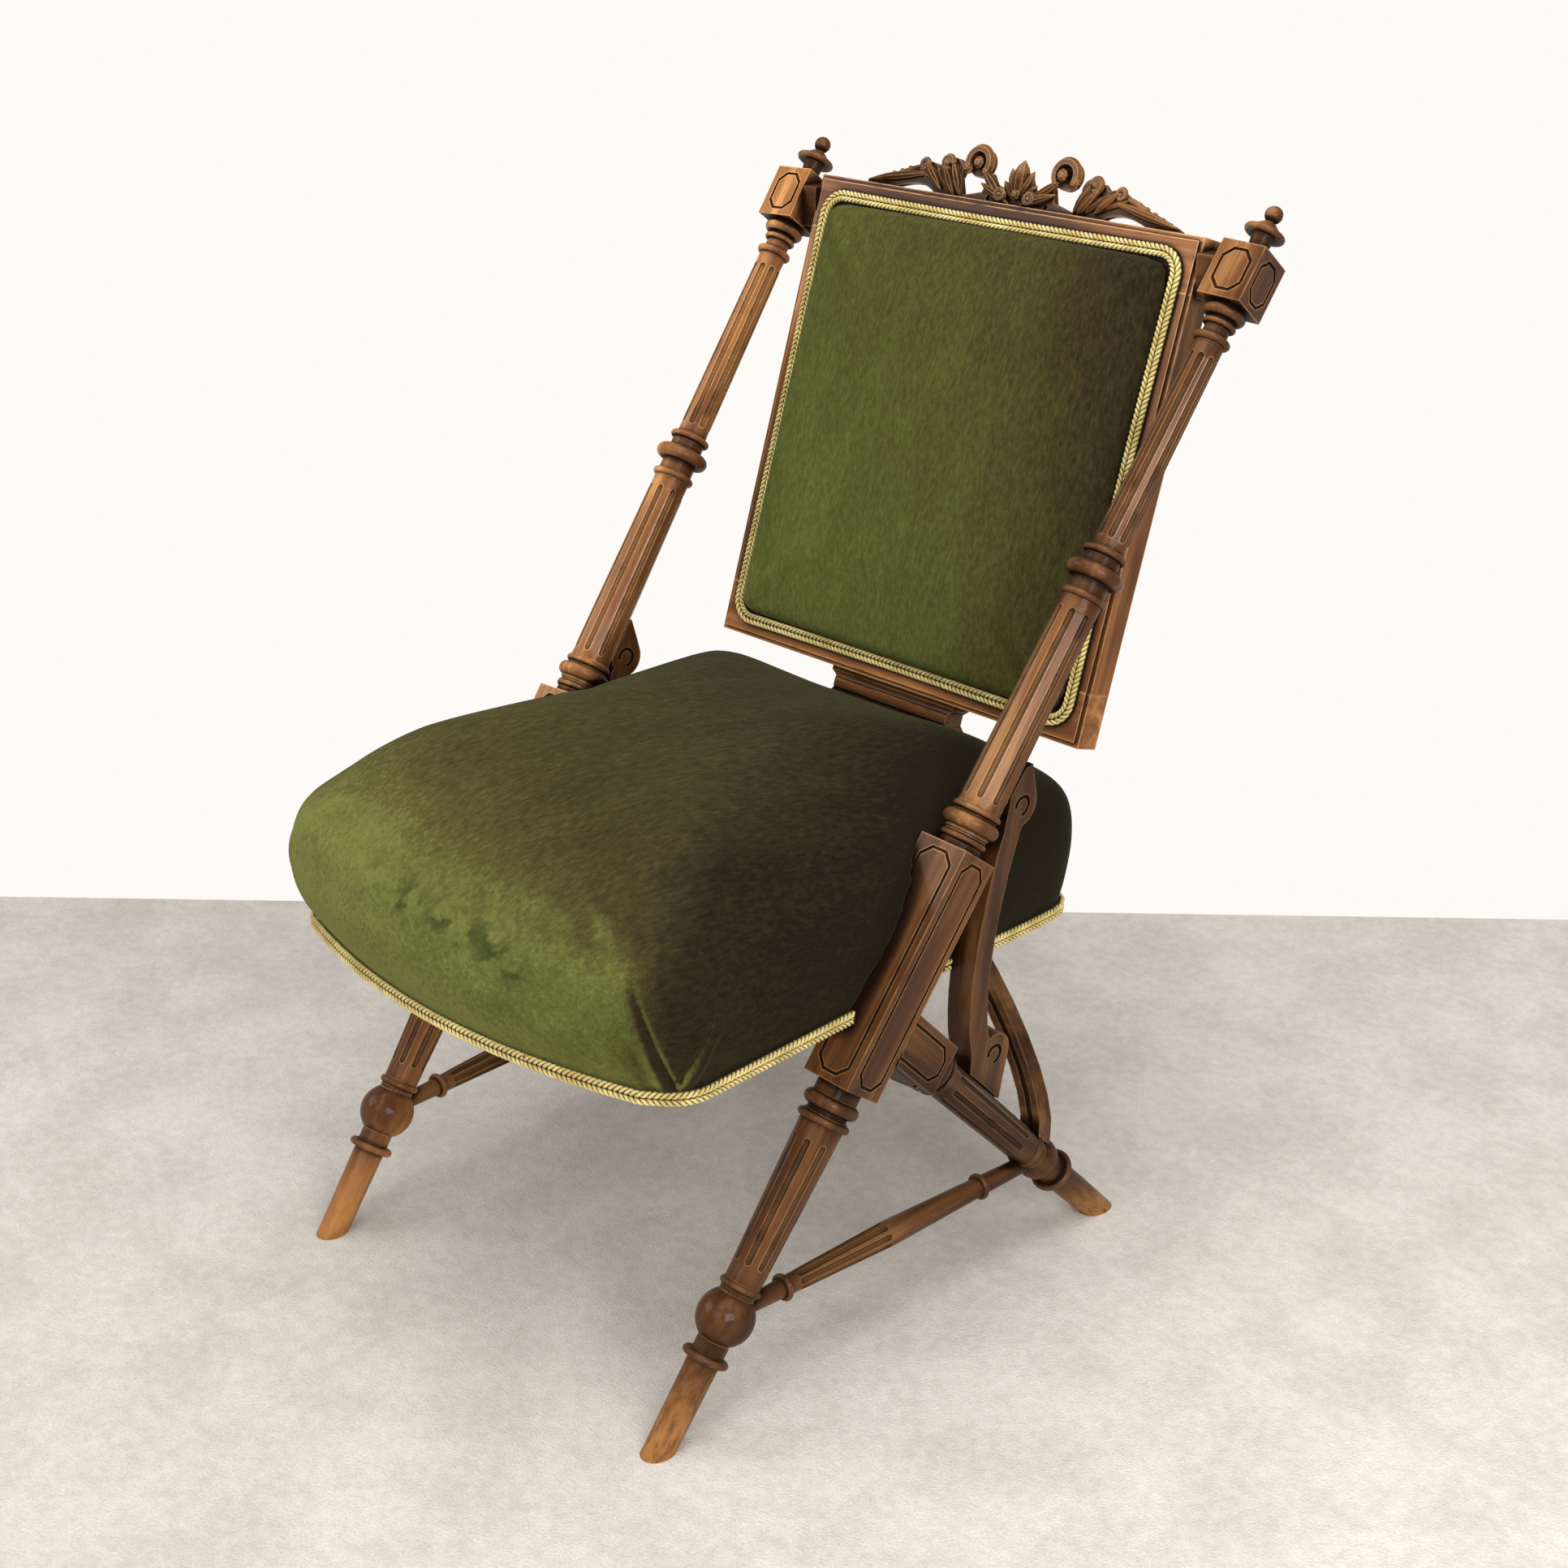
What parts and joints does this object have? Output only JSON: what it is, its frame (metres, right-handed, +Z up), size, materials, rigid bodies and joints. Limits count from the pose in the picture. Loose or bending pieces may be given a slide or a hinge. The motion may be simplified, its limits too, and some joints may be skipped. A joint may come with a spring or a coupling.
{
  "type": "nursing chair",
  "caption": "Low nursing chair with raked fluted side posts crossed by rear legs, a sprung velvet seat and a framed velvet back under a carved pierced crest.",
  "frame": {"origin": "on the floor, centred in width and depth under the whole chair", "axes": "+Z up, the chair faces -Y, +X is the viewer's right when looking at its front"},
  "size_m": [0.5054, 0.6724, 0.8421],
  "materials": {
    "walnut": "french polished walnut, dark in the recesses, semi-gloss",
    "beech": "bare beech, sawn and planed",
    "velvet": "olive green cotton velvet with a brushed pile",
    "braid": "pale gold woven braid",
    "jute": "woven jute webbing and hessian",
    "spring_wire": "coppered steel spring wire, dull"
  },
  "bodies": {
    "root": {"side_post_left": "walnut", "side_post_right": "walnut", "finial_left": "walnut", "finial_right": "walnut", "rear_leg_left": "walnut", "rear_leg_right": "walnut", "side_bracket_left": "walnut", "side_bracket_right": "walnut", "side_stretcher_left": "walnut", "side_stretcher_right": "walnut", "rear_arch": "walnut", "seat_rail_front": "beech", "seat_rail_back": "beech", "seat_rail_left": "beech", "seat_rail_right": "beech", "seat_corner_blocks": "beech", "seat_webbing": "jute", "seat_springs": "spring_wire", "seat_hessian": "jute", "seat_pad": "velvet", "seat_gimp": "braid", "back_rail_top": "walnut", "back_rail_bottom": "walnut", "back_stile_left": "walnut", "back_stile_right": "walnut", "back_spacers": "walnut", "back_dowels": "beech", "back_board": "beech", "back_pad": "velvet", "back_gimp": "braid", "back_cover": "velvet", "crest": "walnut", "shoe": "walnut"}
  },
  "joints": []
}
